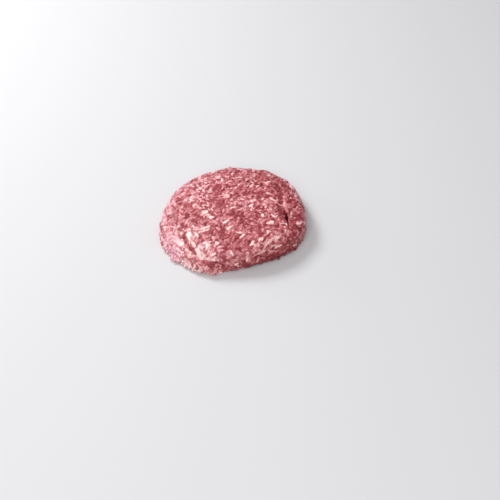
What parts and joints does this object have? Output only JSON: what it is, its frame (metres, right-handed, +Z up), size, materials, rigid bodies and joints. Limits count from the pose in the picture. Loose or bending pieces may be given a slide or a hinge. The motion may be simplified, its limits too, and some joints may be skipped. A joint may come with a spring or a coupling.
{
  "type": "raw ground beef patty",
  "caption": "Hand-pressed round of raw ground beef, lying flat, with a slightly domed top, a ragged rim and a slit beside a folded flap.",
  "frame": {"origin": "on the surface the patty lies on, under the middle of its outline", "axes": "+Z up through the patty, +X to the side with the folded flap and the slit, +Y to the back, away from the thin ragged skirt"},
  "size_m": [0.1116, 0.1094, 0.0211],
  "materials": {
    "raw_beef": "moist raw mince: raspberry-red lean, milky pink smears and cream flecks of fat, with a wet sheen"
  },
  "bodies": {
    "root": {"ground_beef_patty": "raw_beef"}
  },
  "joints": []
}
